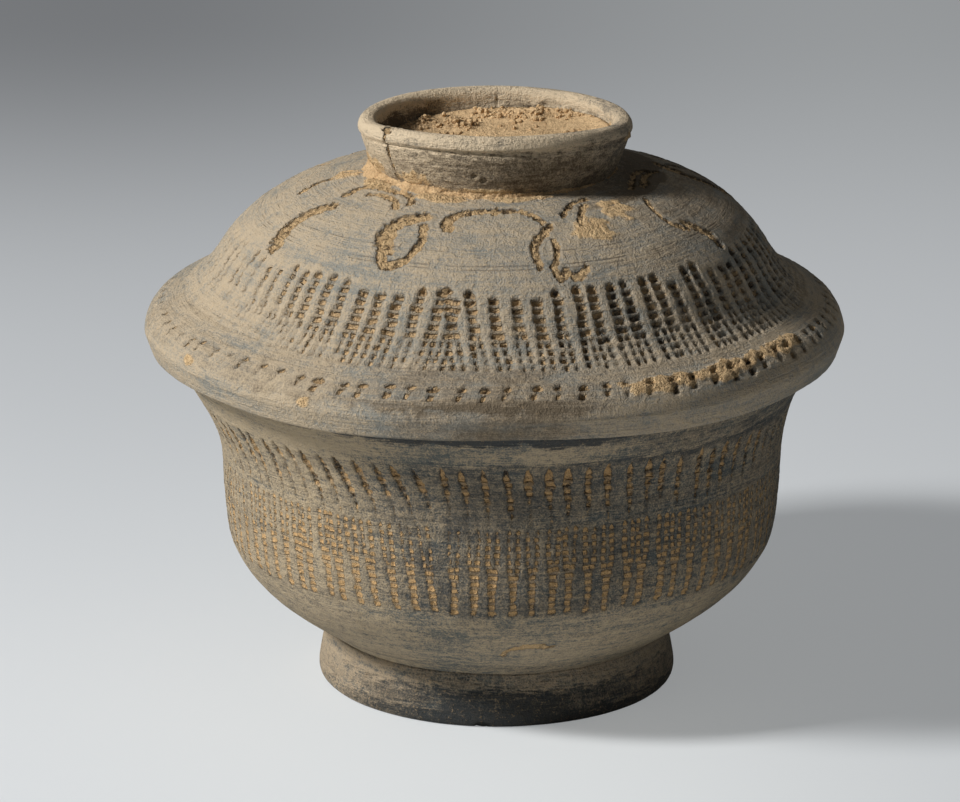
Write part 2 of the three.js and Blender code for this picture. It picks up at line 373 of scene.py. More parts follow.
def comb_tree():
    tree, given = new_tree("pressed_with_comb", {
        "Columns": 90, "Rows": 10, "Legs": 2, "First Row": 0.0, "Row Pitch": 0.002, "Radius": 0.066,
        "Join": 0.5, "Low Gap": 0.0, "High Gap": 0.0, "Low Width": 0.0007, "High Width": 0.0007,
        "Bead Height": 0.0008, "Tip": 0.0, "Lean Right": 0.0, "Lean Left": 0.0, "Lean Reach": 0.1,
        "Joint": -0.25, "Stray": 0.0005, "Depth": 0.0006, "Low Ridge": 0.8, "High Ridge": 0.5,
        "Low Force": 1.0, "High Force": 1.0, "Soft Left": 0.0, "Missed": 0.0, "Seed": 1,
    })
    size = given.out
    chains, rows, legs, seed = size("Columns"), size("Rows"), size("Legs"), size("Seed")

    def chance(x, y, z):
        """A number from nothing to one that stays with one bead or one chain."""
        spot = given.vector(x, y, seed * 7.0 + z)
        return given.make("ShaderNodeTexWhiteNoise", {"noise_dimensions": "3D"}, {"Vector": spot})

    def joined(share):
        """Nothing where the legs of a chain are apart, one where they have met."""
        return share.ramp(size("Join") - 0.25, size("Join") + 0.25)

    def bead(number):
        """Everything about one bead of the comb, from its number."""
        leg = number % legs
        row = ((number + 0.5) / legs).floor() % rows
        column = ((number + 0.5) / (legs * rows)).floor()
        home = column % chains
        turn = (column - 0.5) * (2 * math.pi) / chains - math.pi
        share = row / (rows - 1.0)
        half_gap = joined(share).mix(size("Low Gap"), size("High Gap"))
        half_width = joined(share).mix(size("Low Width"), size("High Width"))
        side = ((turn - size("Joint")) / (2 * math.pi)) % 1.0
        lean = side.ramp(0.0, size("Lean Reach"), 1, 0) * size("Lean Right")
        lean = lean + side.ramp(1.0 - size("Lean Reach"), 1.0) * size("Lean Left")
        rise = row * size("Row Pitch")
        across = turn * size("Radius") + (leg * 2.0 - (legs - 1.0)) * half_gap + lean * rise
        across = across + (chance(home, 0.0, 1.0) - 0.5) * size("Stray") * 2.0
        across = across + (chance(home, row, 2.0 + leg) - 0.5) * size("Stray") * 0.5
        up = size("First Row") + rise + (chance(home, 0.0, 4.0) - 0.5) * size("Stray")
        up = up + (chance(home, row, 5.0 + leg) - 0.5) * size("Stray") * 0.6
        width = half_width * (chance(home, row, 7.0 + leg) * 0.3 + 0.85)
        force = chance(home, row, 9.0 + leg) * 0.4 + 0.6
        force = force * share.mix(size("Low Force"), size("High Force"))
        force = force * (chance(home, 0.0, 11.0 + leg) * 0.4 + 0.75)
        missed = row.over(rows - 1.5) * chance(home, 0.0, 13.0).over(1.0 - size("Missed"))
        force = force * (1.0 - missed)
        return across, up, width, lean, force, row

    number = given.make("GeometryNodeInputIndex")
    across, up = bead(number)[:2]
    beads = given.make("GeometryNodePoints", None, {
        "Count": (chains + 2.0) * rows * legs, "Position": given.vector(across, up, 0.0), "Radius": 0.001,
    })
    # Each point of the clay looks up the bead that is nearest to it on the unrolled wall.
    place = given.make("GeometryNodeInputPosition")
    sway = place.noise(420.0, 2.0).out("Color").split()
    turn, along = marked(given, "turn"), marked(given, "along")
    flat_across = turn * size("Radius") + (sway[0] - 0.5) * COMB_SWAY
    flat_up = along + (sway[1] - 0.5) * COMB_SWAY
    nearest = given.make("GeometryNodeSampleNearest", {"domain": "POINT"}, {
        "Geometry": beads, "Sample Position": given.vector(flat_across, flat_up, 0.0),
    })
    across, up, width, lean, force, row = bead(nearest)
    off_up = flat_up - up
    off_across = flat_across - across - off_up * lean
    top = row.over(rows - 1.5) * off_up.over(0.0)
    end = top + (0.5 - row).over(0.0) * (0.0 - off_up).over(0.0)
    height = size("Bead Height") + top * size("Tip")
    # Inside a chain the groove goes on from bead to bead, with a low ridge between them.
    ridge = (abs(off_up) * 2.0 / size("Row Pitch")).ramp(0.35, 0.8) * (1.0 - end)
    width = width * (1.0 - top * (off_up / height).least(1.0) * 0.55) * (1.0 - ridge * 0.15)
    reach = ((abs(off_across) / width) ** 3.0 + (abs(off_up) * end / height) ** 3.0) ** (1 / 3.0)
    # The first and last beads are closed by a round end; between them only the ridges part a chain.
    parted = joined(row / (rows - 1.0)).mix(size("Low Ridge"), size("High Ridge"))
    ridge = ridge * parted
    press = reach.ramp(1.05, 0.75)
    inside = (1.6 - reach).most(0.0)
    soft = place.split()[0].ramp(-0.025, -0.055) * size("Soft Left")
    patchy = place.noise(38.0, 2.0).ramp(0.3, 0.6, 0.65, 1.0)
    force = (force * patchy * (1.0 - soft)).least(1.0)
    rim = reach.ramp(0.95, 1.2) * reach.ramp(1.6, 1.2) * force
    # Close to this band the clay also keeps where it lies in its bead, for the colour of the ridges.
    near = (flat_up - size("First Row") + size("Row Pitch")).over(0.0)
    near = near * (size("First Row") + size("Row Pitch") * (rows + 1.0) - flat_up).over(0.0)
    phase = (off_up / size("Row Pitch") + row) * (1.0 - end) + row * end
    clay = mark(given, given, "beads", near.mix(marked(given, "beads"), phase))
    clay = mark(given, clay, "parted", near.mix(marked(given, "parted"), parted))
    depth = press * (1.0 - ridge) * force * size("Depth")
    clay = press_in(given, clay, inside * force, depth, rim * PUSHED_UP)
    finish_tree(given, clay)
    return tree


# Strokes: short curved grooves, cut or stamped, whose floor is torn and full of soil. A stroke is
# (start, a point it goes through, end, half width), laid flat: seen from above, or unrolled. A low
# rim is torn up beside it.
TORN_UP = 0.00015


def stroke_tree(name, strokes, from_above):
    tree, given = new_tree(name, {
        "Radius": 0.066, "Lowest": -1.0, "Depth": 0.0007, "Tear": 0.65, "Serration": 0.08, "Wander": 0.0016,
    })
    curves = []
    for start, through, end, half_width in strokes:
        start, through, end = (Vector(spot).to_3d() for spot in (start, through, end))
        bow = 2 * through - (start + end) / 2
        curve = given.make("GeometryNodeCurveQuadraticBezier", None, {
            "Resolution": 24, "Start": start, "Middle": bow, "End": end,
        })
        curves.append(given.make("GeometryNodeSetCurveRadius", None, {"Curve": curve, "Radius": half_width}))
    joined = given.make("GeometryNodeJoinGeometry", None, {"Geometry": curves})
    points = given.make("GeometryNodeCurveToPoints", {"mode": "LENGTH"}, {"Curve": joined, "Length": 0.00025})
    place = given.make("GeometryNodeInputPosition")
    x, y, _ = place.split()
    if from_above:
        flat = given.vector(x, y, 0.0)
    else:
        flat = given.vector(marked(given, "turn") * given.out("Radius"), marked(given, "along"), 0.0)
    sway = place.noise(330.0, 3.0).out("Color").vectors("SUBTRACT", (0.5, 0.5, 0.5))
    flat = flat.vectors("ADD", sway.scaled(given.out("Wander"))).vectors("MULTIPLY", (1.0, 1.0, 0.0))
    nearest = given.make("GeometryNodeSampleNearest", {"domain": "POINT"}, {
        "Geometry": points, "Sample Position": flat,
    })
    centre = sampled(given, points, "FLOAT_VECTOR", given.make("GeometryNodeInputPosition"), nearest)
    half = sampled(given, points, "FLOAT", given.make("GeometryNodeInputRadius"), nearest)
    off = flat.vectors("DISTANCE", centre).out("Value")
    teeth = (nearest * 1.3).sum("SINE") * given.out("Serration") + 1.0
    torn = place.noise(850.0, 3.0)
    reach = off / (half * teeth) + (torn - 0.5) * 1.7
    outside = marked(given, "along").over(given.out("Lowest"))
    press = reach.ramp(1.05, 0.8) * outside
    floor = (reach.ramp(0.1, 0.7) * 0.5 + 0.5) * (1.0 - given.out("Tear") * torn.ramp(0.4, 0.6))
    rim = reach.ramp(0.95, 1.25) * reach.ramp(1.9, 1.25) * outside
    clay = mark(given, given, "soil", marked(given, "soil").most(reach.ramp(0.9, 0.5) * outside * 0.9))
    inside = (1.6 - reach).most(0.0) * outside
    clay = press_in(given, clay, inside, press * floor * given.out("Depth"), rim * TORN_UP)
    finish_tree(given, clay)
    return tree


# Clinging soil and knocks: patches where gritty earth has stuck to the clay, or where a knock has
# taken a chip off. A patch is (degrees from the front, distance along, half width, half height, how
# far it stands out, below nothing for a chip), lengths in millimetres.
def patch_tree(name, patches):
    tree, given = new_tree(name, {"Radius": 0.066, "Lumps": 650.0})
    place = given.make("GeometryNodeInputPosition")
    lumps = place.noise(given.out("Lumps"), 3.0, 0.6)
    ragged = place.noise(240.0, 3.0)
    turn, along = marked(given, "turn"), marked(given, "along")
    earth, gone = 0.0, 0.0
    for degrees, middle, half_width, half_height, out in patches:
        off_across = (turn - math.radians(degrees)) * given.out("Radius") / (half_width / 1000)
        off_up = (along - middle / 1000) / (half_height / 1000)
        reach = (off_across**2 + off_up**2) ** 0.5 + (ragged - 0.5) * 2.2 + (lumps - 0.5) * 0.8
        cover = reach.ramp(1.1, 0.55)
        if out > 0:
            earth = (cover * lumps.ramp(0.3, 0.65, 0.25, 1.0) * (out / 1000)).most(earth)
        else:
            gone = (cover * lumps.ramp(0.3, 0.65, 0.7, 1.0) * (-out / 1000)).most(gone)
    clay = given
    if isinstance(earth, Wire):
        clay = mark(given, clay, "soil", marked(given, "soil").most(earth * 3000.0))
        clay = mark(given, clay, "raised", marked(given, "raised") + earth)
    if isinstance(gone, Wire):
        clay = mark(given, clay, "sunk", marked(given, "sunk") + gone)
    finish_tree(given, clay)
    return tree


# The skin: moves the clay to where all the stamps have pressed it, and adds what the wheel and the
# hand left on it: slow unevenness, low rings round the wall, and grit that sticks out.
def skin_tree():
    tree, given = new_tree("wheel_and_hand", {
        "Unevenness": 0.0003, "Rings": 0.00008, "Ring Scale": 260.0, "Grit": 0.00006, "Seed": 0.0,
    })
    place = given.make("GeometryNodeInputPosition")
    shifted = place.vectors("ADD", given.vector(given.out("Seed"), 0.0, 0.0))
    slow = (shifted.noise(34.0, 2.0) - 0.5) * given.out("Unevenness") * 2.0
    middle = (shifted.noise(170.0, 3.0) - 0.5) * given.out("Unevenness") * 0.7
    x, y, _ = place.split()
    wheel = given.vector(x * 2.0, y * 2.0, marked(given, "along") * given.out("Ring Scale"))
    rings = (wheel.noise(1.0, 2.0) - 0.5) * given.out("Rings") * 2.0
    grit = (shifted.noise(1500.0, 2.0) - 0.5) * given.out("Grit") * 2.0
    lift = slow + middle + rings + grit + marked(given, "raised") - marked(given, "sunk")
    offset = given.make("GeometryNodeInputNormal").scaled(lift)
    clay = given.make("GeometryNodeSetPosition", None, {"Geometry": given, "Offset": offset})
    finish_tree(given, clay)
    return tree


def worked(name, mesh, steps, surface):
    """Runs the clay through its steps, each a tree with its sizes, and gives back the finished piece."""
    piece = bpy.data.objects.new(name, mesh)
    bpy.context.scene.collection.objects.link(piece)
    for tree, sizes in steps:
        step = piece.modifiers.new(tree.name, "NODES")
        step.node_group = tree
        for item in tree.interface.items_tree:
            if item.in_out == "INPUT" and item.name in sizes:
                step[item.identifier] = sizes[item.name]
            elif item.in_out == "INPUT" and item.name == "Surface":
                step[item.identifier] = surface
    seen = bpy.context.evaluated_depsgraph_get()
    ready = piece.evaluated_get(seen)
    plain = bpy.data.meshes.new_from_object(ready, preserve_all_data_layers=True, depsgraph=seen)
    plain.materials.clear()
    plain.materials.append(surface)
    plain.polygons.foreach_set("material_index", [0] * len(plain.polygons))
    piece.modifiers.clear()
    piece.data = plain
    return piece


def tone(red, green, blue):
    """A colour as it is seen, 0 to 255, made into the one that light works with."""
    seen = [channel / 255 for channel in (red, green, blue)]
    return tuple(c / 12.92 if c <= 0.04045 else ((c + 0.055) / 1.055) ** 2.4 for c in seen) + (1.0,)


OCHRE_SOIL = tone(184, 152, 109)
PALE_SOIL = tone(196, 172, 136)
CRUST_SOIL = tone(192, 156, 110)
BRIGHT_SOIL = tone(235, 200, 150)
DEEP_SHADE = tone(60, 48, 37)


def left_to_right(x, shares):
    """A share that changes across the piece: at its left, in the middle, at its right."""
    left, middle, right = shares
    return x.ramp(-0.05, 0.0, left, middle) + x.ramp(0.0, 0.05, 0.0, right - middle)


def clay_surface(
    name, cool, middle, warm, film, dark, painted_shade,
    fill_and_shade=(0.6, 0.6, 0.6), lines=(), bands=(), wiped=1.0, full_below=-1.0, soil=OCHRE_SOIL,
):
    """Fired clay: cloudy ground, a dry film wiped round by hand, darker patches, painted light and shade,
    and soil in the stamps.

    Three shares run from left to right: of the warm film, of painted shade in the dark tone, and of
    soil in the stamps. The film is partly painted light, paler where the lamp's light falls; the
    painted shade below nothing paints light; where the soil's share is low, painted deep shade takes
    the place of soil. A band is (from, to, shares): a stretch along the wall with more of the dark
    tone; each material says which of its bands are painted shade. Wiped is how much the wheel's
    streaks show. Stamps lower than full_below are heaped."""
    material = bpy.data.materials.new(name)
    material.use_nodes = True
    tree = material.node_tree
    shader = next(node for node in tree.nodes if node.type == "BSDF_PRINCIPLED")
    clay = Wire(tree)
    place = clay.make("ShaderNodeTexCoord").out("Object")
    x, y, _ = place.split()
    along, pit, beads, parted, clinging = (
        clay.make("ShaderNodeAttribute", {"attribute_name": label}).out("Fac")
        for label in ("along", "pit", "beads", "parted", "soil")
    )
    # Noise at this place is drawn out round the wall, as the wheel draws out streaks.
    reach = ((x * x + y * y) ** 0.5).most(0.0001)
    wheel = clay.vector(x / reach * 0.06, y / reach * 0.06, along * 12.0)

    clouds = place.noise(30.0, 4.0, 0.6)
    blotches = place.noise(130.0, 5.0, 0.62)
    specks = place.noise(650.0, 4.0, 0.65)
    dust = place.noise(2400.0, 2.0, 0.6)
    streaks = (wheel.noise(34.0, 6.0, 0.7) - 0.5) * wiped + 0.5
    lines_wiped = (wheel.noise(150.0, 4.0, 0.65) - 0.5) * wiped
    grain = (dust - 0.5) * 1.6 + (specks - 0.5) * 1.4 + lines_wiped * 1.3

    # The fired clay, then its dry film, partly painted light, its dark patches with painted shade
    # and the dust in its pores.
    ground = clouds * 0.25 + blotches * 0.35 + streaks * 0.4 + grain * 0.12
    ground = ground.ramp(0.4, 0.6).tint(cool, middle)
    dry = left_to_right(x, film) + (clouds - 0.5) * 1.3 + (blotches - 0.5) + (streaks - 0.5) * 1.9 + grain
    ground = (dry.ramp(-0.05, 1.05) * 0.95).tint(ground, warm)
    shade = left_to_right(x, painted_shade) + (blotches - 0.5) * 1.0 + (streaks - 0.5) * 1.0 - grain * 0.5
    # Bands add more of the dark tone along the wall, much of it painted shade.
    ragged = along + (blotches - 0.5) * 0.006 + lines_wiped * 0.006
    for start, end, shares in bands:
        inside = ragged.ramp(start - 0.002, start) * ragged.ramp(end + 0.002, end)
        shade = shade + inside * left_to_right(x, shares)
    ground = (shade.ramp(0.05, 1.1) * 0.95).tint(ground, dark)
    ground = (dust.ramp(0.56, 0.75) * specks.ramp(0.45, 0.6) * 0.5).tint(ground, OCHRE_SOIL)

    # The stamps: earth with gaps of painted deep shade, parted by the clean ridges between the beads,
    # in a brink of painted shade.
    hollow = (pit + (specks - 0.5) * 0.8 + (dust - 0.5) * 0.5).ramp(0.48, 0.74)
    phase = beads + (specks - 0.5) * 0.3
    ridge = (abs((phase + 0.5) % 1.0 - 0.5) * 2.0).ramp(0.4, 0.7) * parted.ramp(0.0, 0.8)
    deep = along.ramp(full_below, full_below + 0.005)
    filled = (specks - 0.5) * 2.4 + (blotches - 0.5) * 1.6 + left_to_right(x, fill_and_shade) - deep * 0.6
    earth = filled.ramp(0.3, 0.8).tint(DEEP_SHADE, soil)
    earth = (dust.ramp(0.5, 0.72) * 0.5).tint(earth, PALE_SOIL)
    earth = (ridge * 0.85).tint(earth, ground)
    brink = pit.ramp(0.3, 0.5) * (1.0 - hollow)
    colour = (hollow * 0.85).tint((brink * 0.22).tint(ground, DEEP_SHADE), earth)
    # Clinging earth, torn open where it lies in a stroke; the tears are painted deep shade.
    crust = (dust * 0.5 + specks * 0.5).ramp(0.38, 0.56).tint(CRUST_SOIL, BRIGHT_SOIL)
    colour = (clinging.ramp(0.15, 0.8) * 0.9).tint(colour, crust)
    torn = (specks * 0.7 + blotches * 0.3).ramp(0.46, 0.42) * hollow * clinging
    colour = (torn * 0.85).tint(colour, DEEP_SHADE)

    # Relief too fine for the mesh: grain, streaks and pores, heaped or sunken earth, and its gaps.
    height = (specks - 0.5) * 0.0006 * (hollow * 1.8 + clinging * 2.4 + 1.0)
    height = height + (dust - 0.5) * 0.0004 * (hollow + clinging * 2.0 + 1.0) + lines_wiped * 0.0005
    height = height + (streaks - 0.5) * 0.0006 + (blotches - 0.5) * 0.0008
    height = height + (0.0007 - ridge * 0.0009) * hollow * (1.0 - deep * 2.4) - torn * 0.0006
    height = height + (specks - 0.5) * 0.0006 * hollow * (deep * 0.5 + 0.5)
    # Lines cut while the piece turned on the wheel: where they are along the wall, and how wide. They
    # are darkened with painted shade.
    for where, width in lines:
        cut = (abs(along - where + (clouds - 0.5) * 0.001) / width).ramp(1.0, 0.2) * blotches.ramp(0.42, 0.58)
        height = height - cut * 0.0002
        colour = (cut * 0.3).tint(colour, DEEP_SHADE)
    relief = clay.make("ShaderNodeBump", None, {"Strength": 1.0, "Distance": 1.0, "Height": height})
    roughness = specks.ramp(0.3, 0.7, 0.78, 0.95)
    shader.inputs["Specular IOR Level"].default_value = 0.25
    tree.links.new(colour.socket, shader.inputs["Base Color"])
    tree.links.new(roughness.socket, shader.inputs["Roughness"])
    tree.links.new(relief.socket, shader.inputs["Normal"])
    return material


BOWL_COOL = tone(94, 98, 95)
BOWL_GREY = tone(132, 125, 112)
BOWL_WARM = tone(184, 165, 135)
BOWL_DARK = tone(65, 67, 67)
BOWL_SOIL = tone(220, 177, 121)
# The bowl's film is partly painted light, paler on the lit left, and painted shade darkens its front and
# right a little. Its bands: darker just above the foot and, most on the left, on the lower wall; over the
# stamps, the clay's own blue-grey; just above them, painted light on the left and painted shade on the right;
# higher, lighter at the front and darker on the right; and at the top a ribbon of painted shadow under the
# lid's brim, darkest at the front.
bowl_clay = clay_surface(
    "bowl_clay", BOWL_COOL, BOWL_GREY, BOWL_WARM, (0.85, 0.6, 0.5), BOWL_DARK, (0.0, 0.1, 0.1),
    fill_and_shade=(1.3, 1.3, 1.3), bands=(
        (-0.002, 0.006, (0.15, 0.3, 0.25)),
        (0.033, 0.071, (0.3, 0.6, 0.4)),
        (0.006, 0.031, (0.35, 0.1, 0.05)),
        (0.071, 0.0772, (-0.4, 0.0, 0.4)),
        (0.0745, 0.086, (0.0, -0.2, 0.1)),
        (0.0791, 0.087, (0.5, 2.0, 0.1)),
    ), full_below=0.053, soil=BOWL_SOIL,
)

comb = comb_tree()
skin = skin_tree()

crease = (FOOT_TOP_RADIUS, FOOT_HEIGHT)
lip_outside = tuple(np.array(LIP_CENTRE) + heading(-RIM_FLARE) * LIP_RADIUS)
lip_inside = tuple(np.array(LIP_CENTRE) + heading(180 - RIM_FLARE) * LIP_RADIUS)
belly_inside = (BELLY[0] - BOWL_WALL, BELLY[1])
wall_top = 90 - RIM_FLARE
lower_wall = thrown(crease, 36, BELLY, 90, (0.47, 0.46))
upper_wall = thrown(BELLY, 90, lip_outside, wall_top, (0.5, 0.25))
outside = np.concatenate((lower_wall, upper_wall[1:]))
base = thrown((0, BOWL_UNDERSIDE), 0, (0.0344, FOOT_HEIGHT), 30, (0.45, 0.12))
mouth = thrown(lip_inside, wall_top + 180, belly_inside, 270, (0.25, 0.5))
inside = thrown(belly_inside, 270, (0, BOWL_INSIDE_FLOOR), 180, (0.37, 0.59))
STAMPS_FROM = 0.031
STAMPS_TO = 0.0715

bowl_mesh = turned("bowl", [
    (base, 0.003, 112),
    (np.array((base[-1], crease)), 0.003, 112),
    (between(outside, 0, STAMPS_FROM), 0.0011, 448),
    (between(outside, STAMPS_FROM, STAMPS_TO), 0.00055, 896),
    (between(outside, STAMPS_TO, -1), 0.0010, 448),
    (rolled(LIP_CENTRE, LIP_RADIUS, -RIM_FLARE, 180 - RIM_FLARE), 0.0008, 224),
    (mouth, 0.0020, 224),
    (inside, 0.0022, 224),
], crease, swollen_bowl)

upper_register = {
    "Columns": 92, "Rows": 7, "Legs": 1, "First Row": 0.0556, "Row Pitch": 0.0019, "Radius": 0.067,
    "Join": 0.35, "Low Width": 0.0005, "High Width": 0.00095, "Bead Height": 0.0009, "Tip": 0.0026,
    "Lean Left": -0.2, "Lean Reach": 0.13, "Joint": -0.2, "Stray": 0.0007, "Depth": 0.0008,
    "Low Ridge": 0.8, "High Ridge": 0.45, "Low Force": 0.5, "High Force": 1.3, "Seed": 3,
}
lower_register = {
    "Columns": 92, "Rows": 12, "Legs": 2, "First Row": 0.0335, "Row Pitch": 0.00183, "Radius": 0.066,
    "Join": 0.5, "Low Gap": 0.0001, "High Gap": 0.00105, "Low Width": 0.0009, "High Width": 0.00065,
    "Bead Height": 0.00085, "Lean Left": -0.13, "Lean Reach": 0.16, "Joint": -0.2, "Stray": 0.0006,
    "Depth": 0.0004, "Low Ridge": 0.5, "High Ridge": 0.8, "Low Force": 1.1, "High Force": 0.95, "Seed": 8,
}
SCRATCH_RADIUS = 0.056


def on_lower_wall(degrees, millimetres):
    """A place on the unrolled lower wall: degrees from the front, and millimetres up from the crease."""
    return (math.radians(degrees) * SCRATCH_RADIUS, millimetres / 1000)


scratch = stroke_tree("scratch", [
    (on_lower_wall(1.5, 15.3), on_lower_wall(2.2, 18.4), on_lower_wall(4.0, 20.0), 0.0005),
    (on_lower_wall(4.0, 20.0), on_lower_wall(8.0, 20.4), on_lower_wall(12.5, 19.8), 0.0009),
], False)
bowl = worked("bowl", bowl_mesh, [
    (comb, upper_register),
    (comb, lower_register),
    (scratch, {"Radius": SCRATCH_RADIUS, "Depth": 0.0003}),
    (skin, {"Unevenness": 0.0003, "Rings": 0.0001}),
], bowl_clay)
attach(bowl, "bowl")
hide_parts("bowl_body")


# The foot ring: a low ring of the same clay, thrown separately and luted under the bowl. Its side
# leans in to the crease, its toe is rounded and knocked.
FOOT_RADIUS = 0.0425
FOOT_INSIDE_RADIUS = 0.0354
TOE_HEIGHT = 0.0024
LAND_OUTSIDE = 0.0413
LAND_INSIDE = 0.0386
FOOT_INSIDE_TOE = 0.0374

FOOT_BROWN = tone(172, 154, 128)
FOOT_DARK = tone(47, 50, 51)
# The foot's film is partly painted light, paler on the lit left, and painted shade darkens its front, where
# the bowl above shades it. Its bands make it darker towards the toe, most at the front.
foot_clay = clay_surface(
    "foot_clay", BOWL_COOL, BOWL_GREY, FOOT_BROWN, (1.0, 0.6, 0.6), FOOT_DARK, (-0.05, 0.45, 0.1),
    bands=((-0.01, 0.0025, (0.2, 0.3, 0.3)), (-0.01, 0.0082, (0.15, 0.6, 0.35))),
)


def shifted_foot(turns, radii, heights):
    """The foot stands a little to the right."""
    places = straight_round(turns, radii, heights)
    places[:, 0] += FOOT_SHIFT
    return places


foot_mesh = turned("foot", [
    (np.array(((LAND_INSIDE, 0.0), (LAND_OUTSIDE, 0.0))), 0.0009, 448),
    (thrown((LAND_OUTSIDE, 0.0), 20, (FOOT_RADIUS, TOE_HEIGHT), 90, (0.4, 0.5)), 0.0005, 448),
    (thrown((FOOT_RADIUS, TOE_HEIGHT), 93, crease, 106, (0.2, 0.35)), 0.0006, 448),
    (np.array((crease, (FOOT_INSIDE_RADIUS, FOOT_HEIGHT))), 0.0025, 224),
    (thrown((FOOT_INSIDE_RADIUS, FOOT_HEIGHT), 270, (FOOT_INSIDE_TOE, TOE_HEIGHT), 290, (0.3, 0.3)),
     0.0011, 224),
    (np.array(((FOOT_INSIDE_TOE, TOE_HEIGHT), (LAND_INSIDE, 0.0))), 0.0009, 224),
], (LAND_OUTSIDE, 0.0), shifted_foot, closed=True)
foot_chips = patch_tree("foot_chips", [
    (-5, 1.0, 2.2, 1.2, -0.9),
    (-64, 4.0, 1.6, 1.4, -0.7),
    (-50, 2.0, 1.5, 1.0, -0.6),
    (-47, 8.5, 0.9, 0.9, -0.7),
    (150, 1.5, 3.0, 1.2, -0.7),
])
foot = worked("foot", foot_mesh, [
    (foot_chips, {"Radius": FOOT_RADIUS}),
    (skin, {"Unevenness": 0.00018, "Rings": 0.00012, "Seed": 3.0}),
], foot_clay)
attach(foot, "bowl")
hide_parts("foot_ring")


# The lid: a domed cover thrown upside down in one piece, with a brim that overhangs the bowl. One comb
# made the broad band on its shoulder and the row of pairs on its brim; torn stamps ring its crown.
ARRIS = (0.0823, 0.0865)
BEND = (0.0649, 0.1040)
CROWN_TOP = 0.1253
LID_WALL = 0.0065
SEAT_HEIGHT = 0.0855
THROAT = (0.0669, SEAT_HEIGHT)
SEAT_EDGE = (0.0779, SEAT_HEIGHT)
EDGE_CENTRE = (0.08005, 0.08215)
EDGE_RADIUS = 0.00075
KNOB_NECK = 0.0279
KNOB_SEAT_HEIGHT = 0.12373
INSIDE_KNOB = 0.0236
# How far along the wall from the arris the knob's neck stands, the pairs and the band begin, and the
# band and the strokes end.
NECK_ALONG = 0.0686
PAIRS_FROM = 0.0038
BAND_FROM = 0.0100
BAND_TO = 0.0350
STROKES_TO = 0.0610
# The edge's wave comes in between its two radii; the shoulder is fullest between its middle two.
EDGE_WAVE = 0.0005
WAVING_RADII = (0.066, 0.082)
SHOULDER_FULLNESS = 0.0011
SHOULDER_RADII = (0.030, 0.046, 0.056, 0.068)

LID_COOL = tone(135, 134, 126)
LID_GREY = tone(157, 147, 132)
LID_WARM = tone(184, 166, 139)
LID_DARK = tone(104, 91, 73)
LID_SOIL = tone(206, 172, 126)
CROWN_LINES = ((0.0392, 0.0002), (0.0403, 0.00028), (0.0446, 0.00018))
# The lid's film is partly painted light, paler on the lit left, and painted shade darkens its front and right
# a little. Its bands are painted shade: on the front of the turned-down edge, with painted light on the
# edge's right; on the brim, most at the front; on the right of the crown, with painted light in its middle;
# and the knob's shadow, painted on the crown to its right.
lid_clay = clay_surface(
    "lid_clay", LID_COOL, LID_GREY, LID_WARM, (0.65, 0.5, 0.5), LID_DARK, (-0.05, 0.05, 0.04),
    fill_and_shade=(1.6, 1.4, 1.05), lines=CROWN_LINES, wiped=0.8, soil=LID_SOIL,
    bands=(
        (-0.007, 0.0028, (0.05, 0.65, -0.4)),
        (0.0028, 0.0135, (0.3, 0.55, 0.1)),
        (0.036, 0.066, (0.05, -0.25, 0.5)),
        (0.058, 0.075, (-0.3, 0.0, 1.0)),
    ),
)


def uneven_lid(turns, radii, heights):
    """The lid's edge rises and dips by half a millimetre, and its crown is fuller on the right."""
    places = straight_round(turns, radii, heights)
    low = smooth(radii, *WAVING_RADII)
    front = 0.5 + 0.5 * np.cos(turns)
    wave = front * np.cos(6 * (turns - 0.05)) + (1 - front) * np.sin(4 * turns + 0.7)
    places[:, 2] += EDGE_WAVE * low * wave
    shoulder = smooth(radii, *SHOULDER_RADII[:2]) * (1 - smooth(radii, *SHOULDER_RADII[2:]))
    places[:, 2] += SHOULDER_FULLNESS * shoulder * smooth(np.sin(turns), 0.3, 1.0)
    return places


brim = thrown(ARRIS, 100, BEND, 122, (0.36, 0.62))
crown = thrown(BEND, 122, (0, CROWN_TOP), 180, (0.36, 0.29))
lid_outside = np.concatenate((brim, crown[1:]))
bend_inside = tuple(np.array(BEND) + heading(212) * LID_WALL)
edge_roll = rolled(EDGE_CENTRE, EDGE_RADIUS, 205, 350)
neck_part = between(lid_outside, STROKES_TO, NECK_ALONG)
crown_inside_knob = crown[crown[:, 0] < INSIDE_KNOB]

lid_mesh = turned("lid", [
    (thrown((0, CROWN_TOP - LID_WALL), 0, bend_inside, -58, (0.29, 0.36)), 0.0019, 192),
    (thrown(bend_inside, -58, THROAT, -78, (0.3, 0.3)), 0.0016, 192),
    (np.array((THROAT, SEAT_EDGE)), 0.0022, 192),
    (np.array((SEAT_EDGE, edge_roll[0])), 0.0010, 384),
    (edge_roll, 0.0005, 384),
    (np.array((edge_roll[-1], ARRIS)), 0.0007, 384),
    (between(lid_outside, 0, PAIRS_FROM), 0.0007, 384),
    (between(lid_outside, PAIRS_FROM, BAND_FROM), 0.0005, 768),
    (between(lid_outside, BAND_FROM, BAND_TO), 0.00048, 768),
    (between(lid_outside, BAND_TO, STROKES_TO), 0.00072, 768),
    (neck_part, 0.0007, 384),
    (np.array((neck_part[-1], (INSIDE_KNOB, KNOB_SEAT_HEIGHT), crown_inside_knob[0])), 0.002, 96),
    (crown_inside_knob, 0.003, 96),
], ARRIS, uneven_lid)

